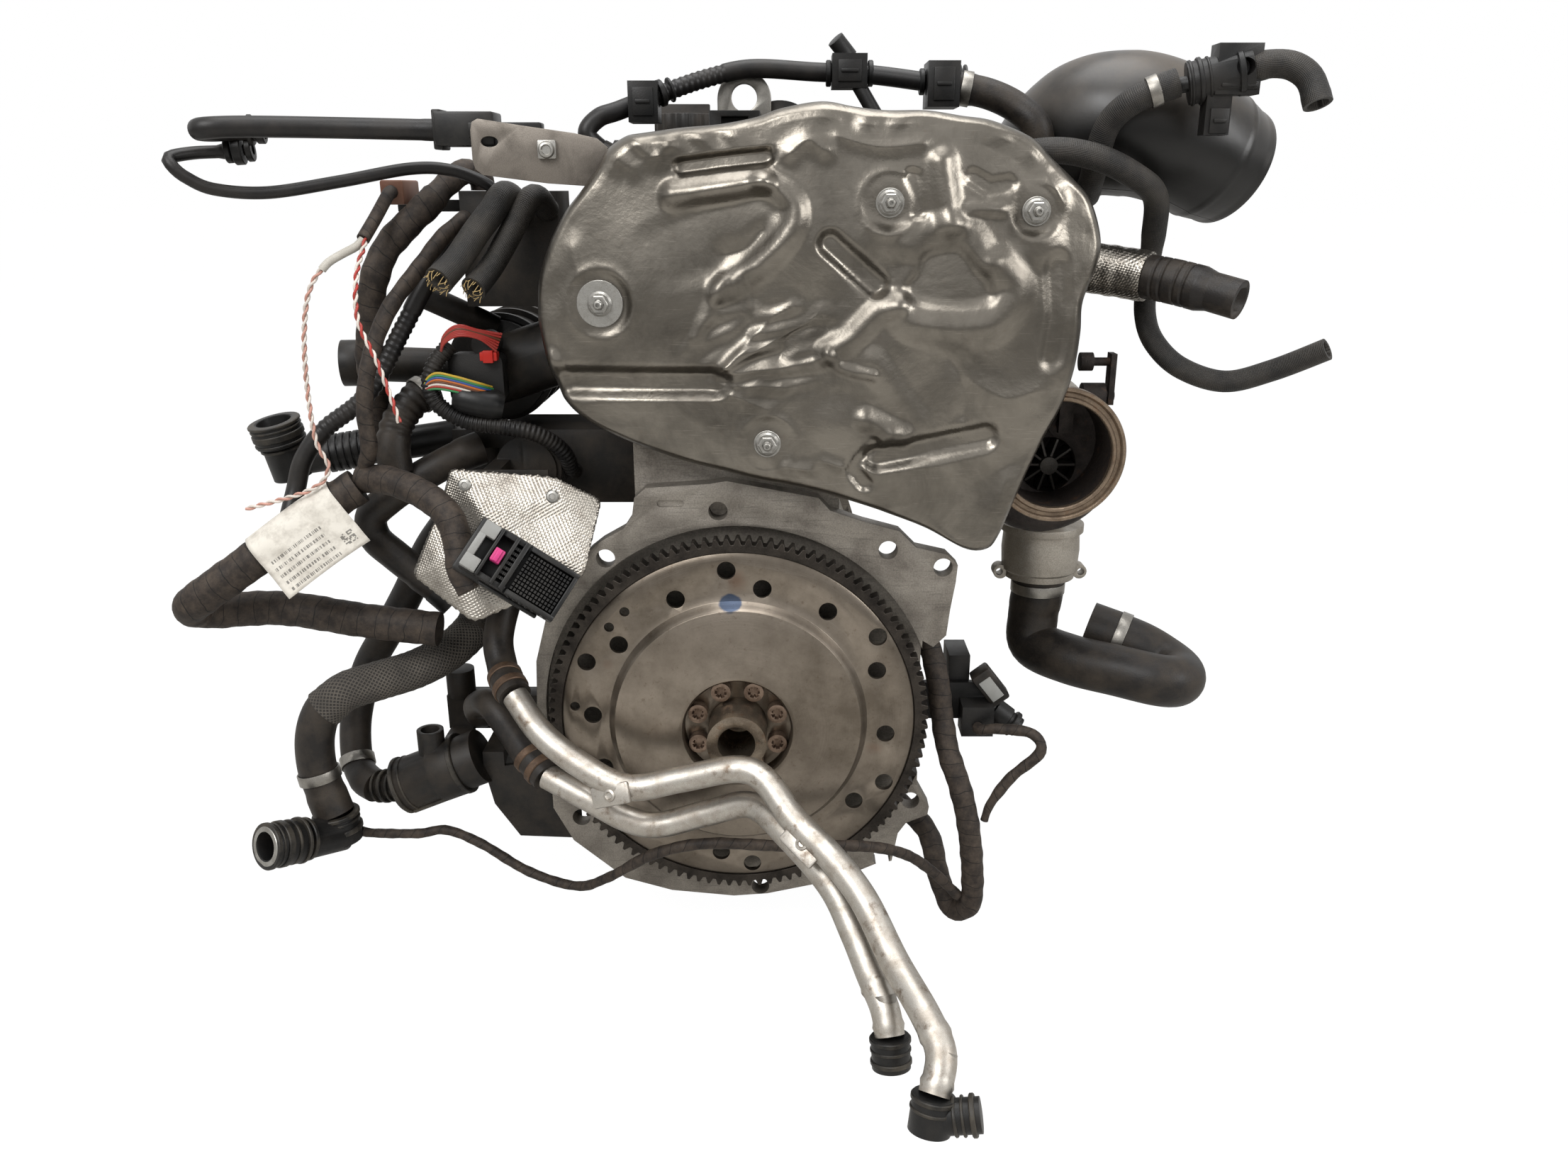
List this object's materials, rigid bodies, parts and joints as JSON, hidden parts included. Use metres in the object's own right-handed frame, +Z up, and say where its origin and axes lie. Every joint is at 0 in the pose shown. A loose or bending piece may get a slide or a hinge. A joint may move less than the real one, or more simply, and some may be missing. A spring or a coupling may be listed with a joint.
{
  "type": "car engine",
  "caption": "Turbocharged petrol car engine with drive plate, heat shield, hoses, aluminium coolant pipes and wiring on its gearbox end.",
  "frame": {"origin": "where the crank axis meets the plane of the gearbox face", "axes": "+Y along the crank axis away from the gearbox, +X towards the exhaust and turbocharger side, +Z up"},
  "size_m": [0.7912, 0.763, 0.6662],
  "materials": {
    "cast_block": "as-cast, satin",
    "cast_head": "as-cast, satin",
    "cast_iron_caps": "machined",
    "black_cover": "matt",
    "painted_pan": "satin",
    "forged_steel": "machined",
    "plate_steel": "brown-grey, slightly rusted",
    "gear_steel": "dark",
    "bolt_steel": "zinc plated, worn",
    "piston_alloy": "machined",
    "intake_plastic": "matt",
    "throttle_alloy": "as-cast",
    "throttle_brass": "satin",
    "shield_metal": "satin, crumpled",
    "hot_iron": "rusty brown",
    "bearing_iron": "as-cast",
    "light_alloy": "as-cast, pale",
    "wheel_alloy": "machined",
    "pipe_alloy": "bright satin",
    "rubber": "matt, dusty",
    "duct_plastic": "satin gloss",
    "foil": "bright foil",
    "wire_red": "satin",
    "lock_magenta": "satin"
  },
  "bodies": {
    "engine": {"engine_block": "cast_block", "main_caps": "cast_iron_caps", "cylinder_head": "cast_head", "head_cover": "black_cover", "timing_cover": "black_cover", "oil_pan_upper": "cast_block", "oil_pan_lower": "painted_pan", "valves": "forged_steel", "timing_chain": "forged_steel", "ignition_coils": "black_cover", "lifting_eye": "bolt_steel", "intake_manifold": "intake_plastic", "throttle_body": "throttle_alloy", "heat_shield": "shield_metal", "shield_fasteners": "bolt_steel", "turbine_housing": "hot_iron", "bearing_housing": "bearing_iron", "compressor_housing": "light_alloy", "charge_silencer": "light_alloy", "charge_hose": "rubber", "hose_clamps": "bolt_steel", "air_duct": "duct_plastic", "breather_hose": "rubber", "vent_hose": "rubber", "purge_valve": "intake_plastic", "purge_hoses": "rubber", "coolant_hose_right": "rubber", "foil_sleeve": "foil", "line_bracket": "bolt_steel", "fuel_hose": "rubber", "vacuum_hose": "rubber", "cut_hoses": "rubber", "coolant_housing": "intake_plastic", "elbow_hose": "rubber", "lower_hose": "rubber", "hose_couplings": "intake_plastic", "coolant_pump": "intake_plastic", "heat_mat": "foil", "harness_trunk": "rubber", "ecu_connector": "intake_plastic", "pipe_upper": "pipe_alloy", "pipe_lower": "pipe_alloy", "crossing_cable": "rubber", "right_harness": "rubber", "sensor_plugs": "intake_plastic", "wire_pairs": "wire_red"},
    "crank": {"crankshaft": "forged_steel", "drive_plate": "plate_steel", "ring_gear": "gear_steel", "crank_bolts": "bolt_steel", "crank_pulley": "painted_pan"},
    "intake_cam": {"intake_camshaft": "forged_steel"},
    "exhaust_cam": {"exhaust_camshaft": "forged_steel"},
    "outer_piston_pair": {"outer_pistons": "piston_alloy"},
    "inner_piston_pair": {"inner_pistons": "piston_alloy"},
    "turbo_wheels": {"turbo_rotor": "wheel_alloy"},
    "wastegate": {"wastegate_lever": "hot_iron"},
    "throttle_valve": {"throttle_plate": "throttle_brass"},
    "filler_cap": {"oil_filler_cap": "black_cover"},
    "plug_lock": {"connector_lock": "lock_magenta"}
  },
  "joints": [
    {"name": "crank_spin", "type": "hinge", "parent": "engine", "child": "crank", "pos_m": [0, 0, 0], "axis": [0, 1, 0], "continuous": true},
    {"name": "intake_cam_spin", "type": "hinge", "parent": "engine", "child": "intake_cam", "pos_m": [-0.045, 0.2, 0.33], "axis": [0, 1, 0], "continuous": true},
    {"name": "exhaust_cam_spin", "type": "hinge", "parent": "engine", "child": "exhaust_cam", "pos_m": [0.045, 0.2, 0.33], "axis": [0, 1, 0], "continuous": true},
    {"name": "outer_piston_slide", "type": "slide", "parent": "engine", "child": "outer_piston_pair", "axis": [0, 0, 1], "range_m": [-0.0928, 0]},
    {"name": "inner_piston_slide", "type": "slide", "parent": "engine", "child": "inner_piston_pair", "axis": [0, 0, 1], "range_m": [0, 0.0928]},
    {"name": "turbo_spin", "type": "hinge", "parent": "engine", "child": "turbo_wheels", "pos_m": [0.228, 0.1, 0.172], "axis": [0, 1, 0], "continuous": true},
    {"name": "wastegate_swing", "type": "hinge", "parent": "engine", "child": "wastegate", "pos_m": [0.236, 0.05, 0.225], "axis": [-1, 0, 0], "range_deg": [0, 25]},
    {"name": "throttle_turn", "type": "hinge", "parent": "engine", "child": "throttle_valve", "pos_m": [-0.18, 0.387, 0.238], "axis": [0, 0, 1], "range_deg": [0, 85]},
    {"name": "filler_cap_turn", "type": "hinge", "parent": "engine", "child": "filler_cap", "pos_m": [-0.048, 0.252, 0.4], "axis": [0, 0, 1], "range_deg": [0, 90]},
    {"name": "plug_lock_slide", "type": "slide", "parent": "engine", "child": "plug_lock", "axis": [0.2625, -0.8829, 0.3892], "range_m": [0, 0.005]}
  ],
  "couplings": [
    {"joint": "intake_cam_spin", "follows": "crank_spin", "ratio": 0.5},
    {"joint": "exhaust_cam_spin", "follows": "crank_spin", "ratio": 0.5},
    {"joint": "inner_piston_slide", "follows": "outer_piston_slide", "ratio": -1}
  ]
}
